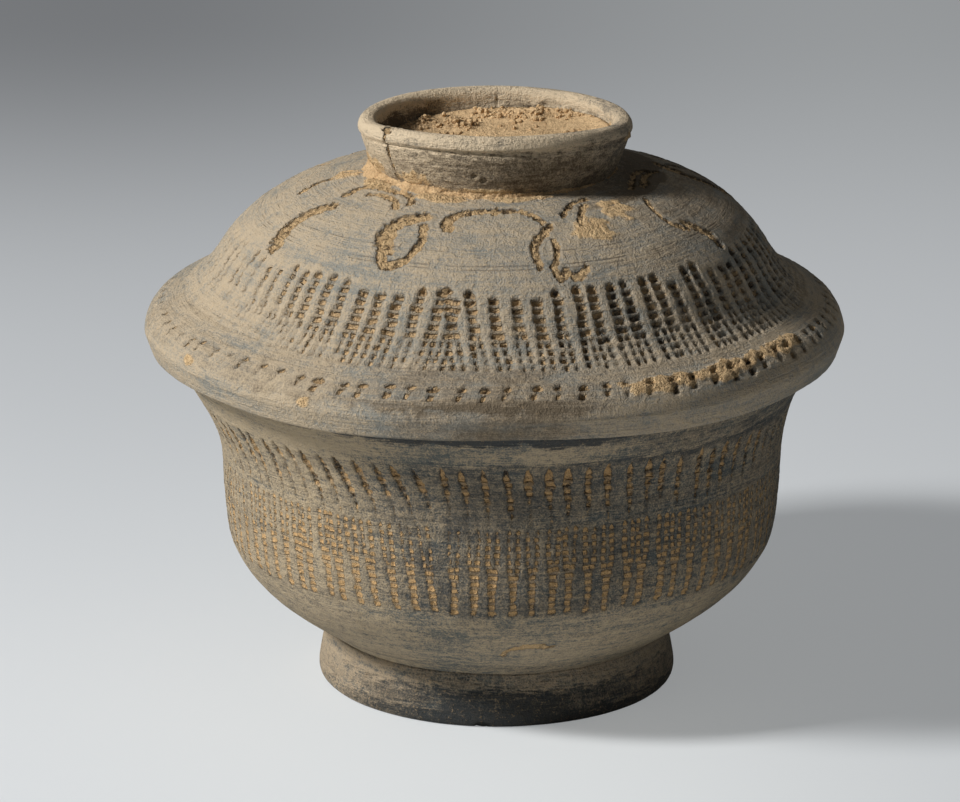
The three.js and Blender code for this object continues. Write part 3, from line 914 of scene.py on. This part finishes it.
shoulder_band = {
    "Columns": 92, "Rows": 10, "Legs": 2, "First Row": 0.0143, "Row Pitch": 0.00206, "Radius": 0.0655,
    "Join": 0.45, "Low Gap": 0.00105, "High Gap": 0.0002, "Low Width": 0.0007, "High Width": 0.00115,
    "Bead Height": 0.0009, "Tip": 0.0004, "Lean Left": 0.14, "Lean Right": -0.23, "Lean Reach": 0.09,
    "Joint": -0.17, "Stray": 0.0006, "Depth": 0.0014, "Low Ridge": 0.95, "High Ridge": 0.72,
    "Low Force": 0.65, "High Force": 1.3, "Soft Left": 0.5, "Missed": 0.3, "Seed": 5,
}
brim_row = {
    "Columns": 90, "Rows": 2, "Legs": 1, "First Row": 0.0053, "Row Pitch": 0.0026, "Radius": 0.0795,
    "Join": 0.5, "Low Width": 0.0008, "High Width": 0.0012, "Bead Height": 0.0009, "Lean Left": 0.3,
    "Lean Right": 0.3, "Lean Reach": 0.5, "Joint": -0.17, "Stray": 0.0008, "Depth": 0.0011,
    "Low Ridge": 0.95, "High Ridge": 0.95, "Low Force": 1.0, "High Force": 1.2, "Soft Left": 0.4, "Seed": 11,
}


def on_crown(degrees, millimetres):
    """A place on the crown: degrees from the front, and millimetres from the axis."""
    angle = math.radians(degrees)
    return (math.sin(angle) * millimetres / 1000, -math.cos(angle) * millimetres / 1000)


# Each motif is a few strokes. The front ones stand where the photograph has them; the same kinds go on
# round the back.
leaf_ring = [
    ((-24, 40.2), (-31, 45.2), (-28, 52.5), 0.0021),
    ((-29, 52.5), (-27, 55.2), (-24, 55.6), 0.0012),
    ((-24, 55.6), (-20, 50.5), (-22, 43.0), 0.0010),
]
arch = [
    ((-14, 43.6), (-13, 38.2), (2, 35.4), 0.0013),
    ((2, 35.4), (11, 36.6), (15, 40.9), 0.0010),
]
hook = [
    ((17, 43.0), (11, 48.8), (11, 54.4), 0.0010),
    ((16, 47.5), (16, 51.2), (14, 54.8), 0.0007),
    ((14, 54.8), (15, 57.4), (17, 56.0), 0.0009),
    ((17, 56.0), (19, 57.6), (22, 55.7), 0.0009),
]
crescent = [
    ((-60, 57.4), (-63, 51.5), (-59, 43.8), 0.0020),
]
small_box = [
    ((-62, 38.6), (-61, 33.4), (-47, 31.5), 0.0011),
    ((-47, 31.5), (-38, 31.6), (-33, 35.4), 0.0009),
    ((-54, 35.4), (-44, 34.6), (-36, 38.2), 0.0008),
]
fork = [
    ((23, 39.6), (29, 35.3), (38, 33.6), 0.0007),
    ((35, 36.3), (30, 39.2), (27, 43.4), 0.0008),
]
long_stroke = [
    ((58, 40.7), (53, 48.1), (57, 52.9), 0.0007),
    ((58, 51.7), (61, 54.1), (62, 57.6), 0.0013),
]
arcs = [
    ((63, 35.2), (81, 32.7), (91, 35.0), 0.0008),
    ((69, 36.5), (83, 35.4), (92, 37.4), 0.0008),
    ((-81, 45.2), (-84, 42.1), (-84, 38.7), 0.0010),
]
BACK_COPIES = (
    (leaf_ring, 128), (hook, 108), (crescent, 178), (arch, 205),
    (leaf_ring, 252), (crescent, 292), (hook, 232),
)

crown_strokes = []
for motif in (leaf_ring, arch, hook, crescent, small_box, fork, long_stroke, arcs):
    for start, through, end, half_width in motif:
        crown_strokes.append((on_crown(*start), on_crown(*through), on_crown(*end), half_width))
for motif, move in BACK_COPIES:
    for start, through, end, half_width in motif:
        spots = [on_crown(degrees + move, millimetres) for degrees, millimetres in (start, through, end)]
        crown_strokes.append((*spots, half_width))
torn_stamps = stroke_tree("torn_stamps", crown_strokes, True)
lid_soil = patch_tree("lid_soil", [
    (30, 50.0, 9.0, 5.0, 0.5),
    (42, 56.0, 8.0, 5.0, 0.45),
    (-25, 66.0, 14.0, 2.2, 0.7),
    (12, 67.0, 16.0, 1.8, 0.6),
    (-60, 66.0, 12.0, 2.6, 0.7),
    (-85, 62.0, 9.0, 4.0, 0.4),
    (28, 7.0, 9.0, 2.6, 0.6),
    (42, 7.5, 9.0, 2.6, 0.7),
    (56, 8.0, 10.0, 2.6, 0.6),
    (-9, 0.8, 7.0, 1.2, -0.3),
    (-31, 1.6, 1.4, 1.2, 0.5),
    (-58, 2.4, 1.6, 1.2, 0.5),
    (-44, 0.6, 0.9, 0.8, -0.6),
    (170, 55.0, 9.0, 4.0, 0.5),
    (-130, 8.0, 12.0, 2.5, 0.5),
])

lid = worked("lid", lid_mesh, [
    (comb, shoulder_band),
    (comb, brim_row),
    (torn_stamps, {"Lowest": 0.02, "Depth": 0.0008}),
    (lid_soil, {}),
    (skin, {"Unevenness": 0.0003, "Rings": 0.0001, "Seed": 7.0}),
], lid_clay)
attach(lid, "lid")
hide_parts("lid_shell")


# The inner flange: a short ring thrown with the lid that drops into the bowl's mouth and keeps the lid
# from sliding. It was protected from wear and soil, so it is cleaner and greyer.
FLANGE_TOP_OUT = 0.0703
FLANGE_TOP_IN = 0.0669
FLANGE_FOOT = (0.0668, 0.08)
FLANGE_ROLL = 0.0017

flange_clay = clay_surface(
    "flange_clay", LID_COOL, LID_GREY, LID_WARM, (0.3, 0.3, 0.3), LID_DARK, (0.3, 0.3, 0.3),
)
flange_foot = rolled(FLANGE_FOOT, FLANGE_ROLL, 180, 360)
flange_mesh = turned("flange", [
    (np.array(((FLANGE_TOP_IN, SEAT_HEIGHT), flange_foot[0])), 0.0007, 256),
    (flange_foot, 0.0006, 256),
    (np.array((flange_foot[-1], (FLANGE_TOP_OUT, SEAT_HEIGHT))), 0.0007, 256),
    (np.array(((FLANGE_TOP_OUT, SEAT_HEIGHT), (FLANGE_TOP_IN, SEAT_HEIGHT))), 0.0012, 256),
], (FLANGE_TOP_IN, SEAT_HEIGHT), straight_round, closed=True)
flange = worked("flange", flange_mesh, [
    (skin, {"Unevenness": 0.00012, "Rings": 0.00008, "Seed": 11.0}),
], flange_clay)
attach(flange, "lid")
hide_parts("lid_seat_flange")


# The ring knob: a low flared ring luted on the crown. Its lip is rolled and thick, stands higher at the
# front, and has an old crack that starts at a pit in the rim.
KNOB_LIP_OUT = 0.0315
KNOB_LIP_WALL = 0.0041
KNOB_LIP_HEIGHT = 0.13373
KNOB_LIP_DEPTH = 0.0024
KNOB_INSIDE_FOOT = 0.0239
# What the hand did to the lip: a narrow groove under it, deeper at the front, a bulge over the groove,
# and the front drawn up.
KNOB_GROOVE_HEIGHT = 0.1329
KNOB_GROOVE_WIDTH = 0.0004
KNOB_GROOVE_DEPTH = 0.0001
KNOB_GROOVE_DEEPER = 0.0008
KNOB_BULGE = 0.0005
KNOB_BULGE_HEIGHTS = (0.1327, 0.1336)
KNOB_DRAWN_UP = 0.0021
KNOB_DRAWN_HEIGHTS = (0.127, 0.1355)
KNOB_OUTER_RADII = (0.0285, 0.0305)

KNOB_COOL = tone(127, 118, 104)
KNOB_BROWN = tone(155, 139, 115)
KNOB_WARM = tone(210, 190, 160)
KNOB_DARK = tone(78, 65, 48)
# The knob's film is partly painted light, paler on the lit left; painted light falls on its left and middle
# and painted shade on its right. Its bands are painted shade: under the rolled lip, where the side faces
# down, most at the front; and inside the cup the shadow of the rim, darkest on the left. KNOB_DARK is the
# tone of this painted shade as well as of the dark patches.
knob_clay = clay_surface(
    "knob_clay", KNOB_COOL, KNOB_BROWN, KNOB_WARM, (1.0, 0.85, 0.6), KNOB_DARK, (-0.3, -0.15, 0.1),
    bands=((-0.002, 0.0090, (0.3, 0.85, 0.55)), (0.0190, 0.035, (2.0, 0.7, 0.0))), wiped=1.0,
)


def drawn_lip(turns, radii, heights):
    """The lip is rolled out over a narrow groove, and drawn up towards the front."""
    front = smooth(np.cos(turns), 0.1, 1.0)
    outer = smooth(radii, *KNOB_OUTER_RADII)
    groove = np.exp(-(((heights - KNOB_GROOVE_HEIGHT) / KNOB_GROOVE_WIDTH) ** 2))
    groove = groove * (KNOB_GROOVE_DEPTH + KNOB_GROOVE_DEEPER * front)
    bulge = smooth(heights, *KNOB_BULGE_HEIGHTS)
    places = straight_round(turns, radii + outer * (KNOB_BULGE * bulge - groove), heights)
    places[:, 2] += KNOB_DRAWN_UP * front * smooth(heights, *KNOB_DRAWN_HEIGHTS)
    return places


lip_angles = np.radians(np.linspace(0, 180, 48))
knob_lip = np.stack((
    KNOB_LIP_OUT - KNOB_LIP_WALL / 2 + np.cos(lip_angles) * KNOB_LIP_WALL / 2,
    KNOB_LIP_HEIGHT + np.sin(lip_angles) * KNOB_LIP_DEPTH,
), 1)
knob_mesh = turned("knob", [
    (np.array(((KNOB_INSIDE_FOOT, KNOB_SEAT_HEIGHT), (KNOB_NECK, KNOB_SEAT_HEIGHT))), 0.0015, 448),
    (thrown((KNOB_NECK, KNOB_SEAT_HEIGHT), 60, tuple(knob_lip[0]), 90, (0.2, 0.22)), 0.00038, 448),
    (knob_lip, 0.00035, 448),
    (thrown(tuple(knob_lip[-1]), 270, (KNOB_INSIDE_FOOT, KNOB_SEAT_HEIGHT), 255, (0.3, 0.3)), 0.0006, 448),
], (KNOB_NECK, KNOB_SEAT_HEIGHT), drawn_lip, closed=True)


def unrolled(degrees, millimetres):
    """A place on the knob's side: degrees from the front, and millimetres up from the neck."""
    return (math.radians(degrees) * KNOB_LIP_OUT, millimetres / 1000)


knob_crack = stroke_tree("knob_crack", [
    (unrolled(-54, 14.5), unrolled(-52, 8.0), unrolled(-50, 1.5), 0.00045),
    (unrolled(-56, 14.0), unrolled(-53, 13.0), unrolled(-50, 14.4), 0.0009),
], False)
knob_chips = patch_tree("knob_chips", [
    (-9, 5.5, 0.8, 0.7, -0.6),
    (-5, 4.5, 0.7, 0.6, -0.6),
    (-52, 13.0, 1.4, 1.6, -0.8),
    (75, 10.0, 1.6, 1.2, 0.8),
    (-40, 3.0, 9.0, 2.4, 0.4),
    (-5, 1.5, 12.0, 1.4, 0.35),
    (-75, 3.0, 8.0, 2.6, 0.5),
    (80, 22.0, 26.0, 4.0, 0.6),
    (150, 23.5, 16.0, 2.6, 0.6),
    (-168, 23.0, 3.0, 2.0, 0.7),
    (-145, 20.0, 1.5, 1.5, -0.6),
    (155, 19.0, 1.2, 1.2, -0.6),
    (180, 20.0, 0.6, 4.0, -0.6),
])
knob = worked("knob", knob_mesh, [
    (knob_crack, {"Radius": KNOB_LIP_OUT, "Depth": 0.0012, "Wander": 0.0010}),
    (knob_chips, {"Radius": KNOB_LIP_OUT}),
    (skin, {"Unevenness": 0.0002, "Rings": 0.0001, "Seed": 5.0}),
], knob_clay)
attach(knob, "lid")
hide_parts("lid_knob_ring")


# The soil round the knob's neck: a ragged fillet of the ochre earth that the vessel lay in. It dried in
# the corner between knob and crown and is thickest on the left.
FILLET_IN = (0.0274, 0.1222)
FILLET_OUT = (0.0345, 0.1205)
FILLET_TOP = (0.0290, 0.1272)
NECK_FOOT = 0.1232


def ragged_fillet(turns, radii, heights):
    """The fillet climbs and spreads more on the left and at the back, with an uneven edge."""
    left = 0.5 - 0.5 * np.sin(turns + 0.35)
    ragged = 0.5 + 0.25 * np.sin(9 * turns + 1.1) + 0.15 * np.sin(23 * turns) + 0.1 * np.sin(41 * turns + 2.0)
    spread = (0.25 + 0.75 * left) * (0.6 + 0.6 * ragged)
    return straight_round(
        turns, KNOB_NECK + (radii - KNOB_NECK) * spread, NECK_FOOT + (heights - NECK_FOOT) * spread,
    )


fillet_mesh = turned("neck_soil", [
    (np.array((FILLET_IN, FILLET_OUT)), 0.0012, 256),
    (thrown(FILLET_OUT, 155, FILLET_TOP, 105, (0.3, 0.3)), 0.0004, 512),
    (np.array((FILLET_TOP, FILLET_IN)), 0.0012, 256),
], FILLET_OUT, ragged_fillet, closed=True)

SOIL_BROWN = tone(168, 138, 100)
SOIL_TAN = tone(192, 158, 116)
SOIL_PALE = tone(220, 188, 144)
SOIL_DARK = tone(60, 48, 36)
# The fillet is paler on the lit left, partly painted light, and darker to the right with painted shade, where
# the knob shades it.
neck_earth = clay_surface(
    "neck_earth", SOIL_BROWN, SOIL_TAN, SOIL_PALE, (0.4, 0.3, 0.1), SOIL_DARK, (0.1, 0.2, 0.4), wiped=0.0,
)
neck_soil = worked("neck_soil", fillet_mesh, [
    (skin, {"Unevenness": 0.0006, "Rings": 0.0, "Grit": 0.0008, "Seed": 19.0}),
], neck_earth)
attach(neck_soil, "lid")


# The soil in the knob: dry gritty earth that has settled in the cup and was never cleaned out. It
# lies higher at the back and on the right.
# The soil in the cup is paler on the right as painted light, and the knob's left rim casts painted shadow
# over its left side.
cup_earth = clay_surface(
    "cup_earth", SOIL_BROWN, SOIL_TAN, SOIL_PALE, (0.3, 0.5, 0.8), SOIL_DARK, (1.3, 0.1, 0.0), wiped=0.0,
)
SOIL_LEVEL = 0.1300
SOIL_FLOOR = 0.1256
SOIL_RADIUS = 0.0270
SOIL_RISE = 0.07
BANKED_UP = 0.0008
BANKED_FROM = 0.022
# A mound is (across, deep, half width, height).
SOIL_MOUNDS = ((-0.0087, 0.0135, 0.0034, 0.0022), (0.0084, 0.0180, 0.0034, 0.0016))


def heaped_soil(turns, radii, heights):
    """The surface of the soil slopes up to the right and to the back, with two mounds of rubble."""
    places = straight_round(turns, radii, heights)
    upper = smooth(heights, SOIL_FLOOR, SOIL_LEVEL)
    places[:, 2] += upper * (SOIL_RISE * places[:, 0] + 0.5 * SOIL_RISE * places[:, 1])
    for across, deep, half_width, height in SOIL_MOUNDS:
        away = np.hypot(places[:, 0] - across, places[:, 1] - deep) / half_width
        places[:, 2] += upper * height * np.exp(-away * away)
    places[:, 2] += upper * BANKED_UP * smooth(radii, BANKED_FROM, SOIL_RADIUS)
    return places


soil_mesh = turned("knob_soil", [
    (np.array(((0.0, SOIL_FLOOR), (INSIDE_KNOB, SOIL_FLOOR))), 0.003, 128),
    (np.array(((INSIDE_KNOB, SOIL_FLOOR), (SOIL_RADIUS, SOIL_LEVEL))), 0.002, 256),
    (np.array(((SOIL_RADIUS, SOIL_LEVEL), (0.0, SOIL_LEVEL))), 0.0005, 256),
], (0.0, SOIL_LEVEL), heaped_soil)


def gravel_tree(name, heaps):
    """Grains strewn on what faces up. A heap is (x, y, radius, share of the full density)."""
    tree, given = new_tree(name, {
        "Density": 3000000.0, "Sparse": 0.05, "Smallest": 0.00014, "Largest": 0.0009, "Seed": 1,
    })
    x, y, _ = given.make("GeometryNodeInputPosition").split()
    cover = given.out("Sparse")
    for across, deep, radius, share in heaps:
        off = (((x - across) ** 2 + (y - deep) ** 2) ** 0.5) / radius
        cover = cover.most(off.ramp(1.0, 0.35) * share)
    up = given.make("GeometryNodeInputNormal").split()[2].over(0.45)
    points = given.make("GeometryNodeDistributePointsOnFaces", None, {
        "Mesh": given, "Density": cover * up * given.out("Density"), "Seed": given.out("Seed"),
    })
    spin = given.make("FunctionNodeRandomValue", {"data_type": "FLOAT_VECTOR"}, {"Max": (6.3, 6.3, 6.3)})
    chance = given.make("FunctionNodeRandomValue", {"data_type": "FLOAT"}, {"Seed": given.out("Seed")})
    size = (chance**3.0).mix(given.out("Smallest"), given.out("Largest"))
    stone = given.make("GeometryNodeMeshIcoSphere", None, {"Radius": 1.0, "Subdivisions": 1})
    stone = given.make("GeometryNodeSetPosition", None, {
        "Geometry": stone, "Offset": given.make("GeometryNodeInputPosition").noise(1.3).out("Color"),
    })
    stones = given.make("GeometryNodeInstanceOnPoints", None, {
        "Points": points, "Instance": stone, "Rotation": spin, "Scale": given.vector(size, size, size * 0.8),
    })
    finish_tree(given, given.make("GeometryNodeJoinGeometry", None, {"Geometry": [given, stones]}))
    return tree


rubble = gravel_tree("rubble", [
    (-0.0087, 0.0135, 0.0060, 1.0),
    (-0.0150, 0.0060, 0.0050, 0.6),
    (0.0084, 0.0180, 0.0060, 1.0),
    (0.0010, -0.0040, 0.0060, 0.35),
    (0.0180, 0.0020, 0.0060, 0.3),
    (0.0000, 0.0240, 0.0070, 0.6),
    (0.0160, 0.0190, 0.0060, 0.5),
    (-0.0180, 0.0170, 0.0060, 0.6),
])
knob_soil = worked("knob_soil", soil_mesh, [
    (skin, {"Unevenness": 0.0009, "Rings": 0.0, "Grit": 0.0003, "Seed": 13.0}),
    (rubble, {}),
], cup_earth)
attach(knob_soil, "lid")


# The stage: a pale grey sweep of paper that the covered bowl stands on, a broad soft lamp low on the
# left, a little to the front, and dim light all round.
CAMERA_PLACE = (0.0, -1.117746, 0.406266)
CAMERA_PITCH = 0.295
CAMERA_YAW = -0.003
CAMERA_ROLL = 0.003
CAMERA_LENS = 185.0
LAMP_DISTANCE = 1.4
LAMP_FROM_LEFT = math.radians(22)
LAMP_RISE = math.radians(40)
# The square of the distance from the lamp at which the paper is as pale as written.
EVEN_FROM = 1.675

# The paper's colours: the first two pairs run from left to right. They paint the fall of the light
# on the sheet: darker towards the back, darker on the left than on the right, palest at the front in the
# middle.
PAPER_BACK = (tone(141, 143, 146), tone(185, 188, 190))
PAPER_MIDDLE = (tone(196, 199, 202), tone(208, 211, 214))
PAPER_FRONT = tone(226, 229, 230)
PAPER_BESIDE = tone(216, 219, 221)
PAPER_FAR = tone(172, 175, 178)
ROOM_WALL = tone(120, 122, 125)

scene = bpy.context.scene
scene.view_settings.view_transform = "Standard"

ahead = Vector((
    math.sin(CAMERA_YAW) * math.cos(CAMERA_PITCH),
    math.cos(CAMERA_YAW) * math.cos(CAMERA_PITCH),
    -math.sin(CAMERA_PITCH),
))
level = ahead.cross(Vector((0, 0, 1))).normalized()
upright = level.cross(ahead)
right = math.cos(CAMERA_ROLL) * level + math.sin(CAMERA_ROLL) * upright
above = math.cos(CAMERA_ROLL) * upright - math.sin(CAMERA_ROLL) * level
camera_data = bpy.data.cameras.new("camera")
camera_data.lens = CAMERA_LENS
camera_data.clip_start = 0.05
camera_data.clip_end = 20
camera = bpy.data.objects.new("camera", camera_data)
camera.matrix_world = Matrix.Translation(CAMERA_PLACE) @ Matrix((right, above, -ahead)).transposed().to_4x4()
scene.collection.objects.link(camera)
scene.camera = camera

lamp_place = LAMP_DISTANCE * Vector((
    -math.cos(LAMP_RISE) * math.cos(LAMP_FROM_LEFT),
    -math.cos(LAMP_RISE) * math.sin(LAMP_FROM_LEFT),
    math.sin(LAMP_RISE),
))

FLOOR_HALF = 4.0
floor_mesh = bpy.data.meshes.new("floor")
floor_corners = [(-FLOOR_HALF, -FLOOR_HALF, 0), (FLOOR_HALF, -FLOOR_HALF, 0),
                 (FLOOR_HALF, FLOOR_HALF, 0), (-FLOOR_HALF, FLOOR_HALF, 0)]
floor_mesh.from_pydata(floor_corners, [], [(0, 1, 2, 3)])
floor = bpy.data.objects.new("floor", floor_mesh)
scene.collection.objects.link(floor)
paper = bpy.data.materials.new("paper")
paper.use_nodes = True
paper_tree = paper.node_tree
paper_tree.nodes.clear()
sheet = Wire(paper_tree)
px, py, _ = sheet.make("ShaderNodeTexCoord").out("Object").split()
back = px.ramp(-0.16, 0.16).tint(*PAPER_BACK)
middle = px.ramp(-0.16, 0.16).tint(*PAPER_MIDDLE)
near = px.ramp(-0.14, 0.02).tint(PAPER_BESIDE, PAPER_FRONT)
near = px.ramp(0.02, 0.14).tint(near, PAPER_BESIDE)
pale = py.ramp(-0.08, 0.34).tint(near, middle)
pale = py.ramp(0.26, 0.72).tint(pale, back)
pale = ((px**2 + py**2) ** 0.5).ramp(0.8, 2.5).tint(pale, PAPER_FAR)
# The sheet is shaded towards the lamp, so that the light on it stays even.
from_lamp = (px - lamp_place.x) ** 2 + (py - lamp_place.y) ** 2 + lamp_place.z ** 2
pale = ((from_lamp / EVEN_FROM) ** 1.5).least(1.0).tint((0.0, 0.0, 0.0, 1.0), pale)
diffuse = sheet.make("ShaderNodeBsdfDiffuse", None, {"Color": pale})
glow = sheet.make("ShaderNodeEmission", None, {"Color": pale, "Strength": 1.0})
# For the camera the sheet also glows with its own colour: painted light that lifts its shadows.
for_camera = sheet.make("ShaderNodeLightPath").out("Is Camera Ray") * 0.35
paper_mix = sheet.make("ShaderNodeMixShader", None, {0: for_camera, 1: diffuse, 2: glow})
sheet.make("ShaderNodeOutputMaterial", None, {"Surface": paper_mix})
floor_mesh.materials.append(paper)

world = bpy.data.worlds.new("world")
world.use_nodes = True
world.node_tree.nodes.clear()
room = Wire(world.node_tree)
dim = room.make("ShaderNodeBackground", None, {"Color": (0.95, 0.98, 1.0, 1.0), "Strength": 0.125})
wall = room.make("ShaderNodeBackground", None, {"Color": ROOM_WALL, "Strength": 1.0})
looked_at = room.make("ShaderNodeLightPath").out("Is Camera Ray")
room_mix = room.make("ShaderNodeMixShader", None, {0: looked_at, 1: dim, 2: wall})
room.make("ShaderNodeOutputWorld", None, {"Surface": room_mix})
scene.world = world

lamp_data = bpy.data.lights.new("window", "AREA")
lamp_data.energy = 22
lamp_data.size = 0.22
lamp = bpy.data.objects.new("window", lamp_data)
lamp.location = lamp_place
lamp.rotation_euler = (Vector((0, 0, 0.08)) - lamp.location).to_track_quat("-Z", "Y").to_euler()
scene.collection.objects.link(lamp)
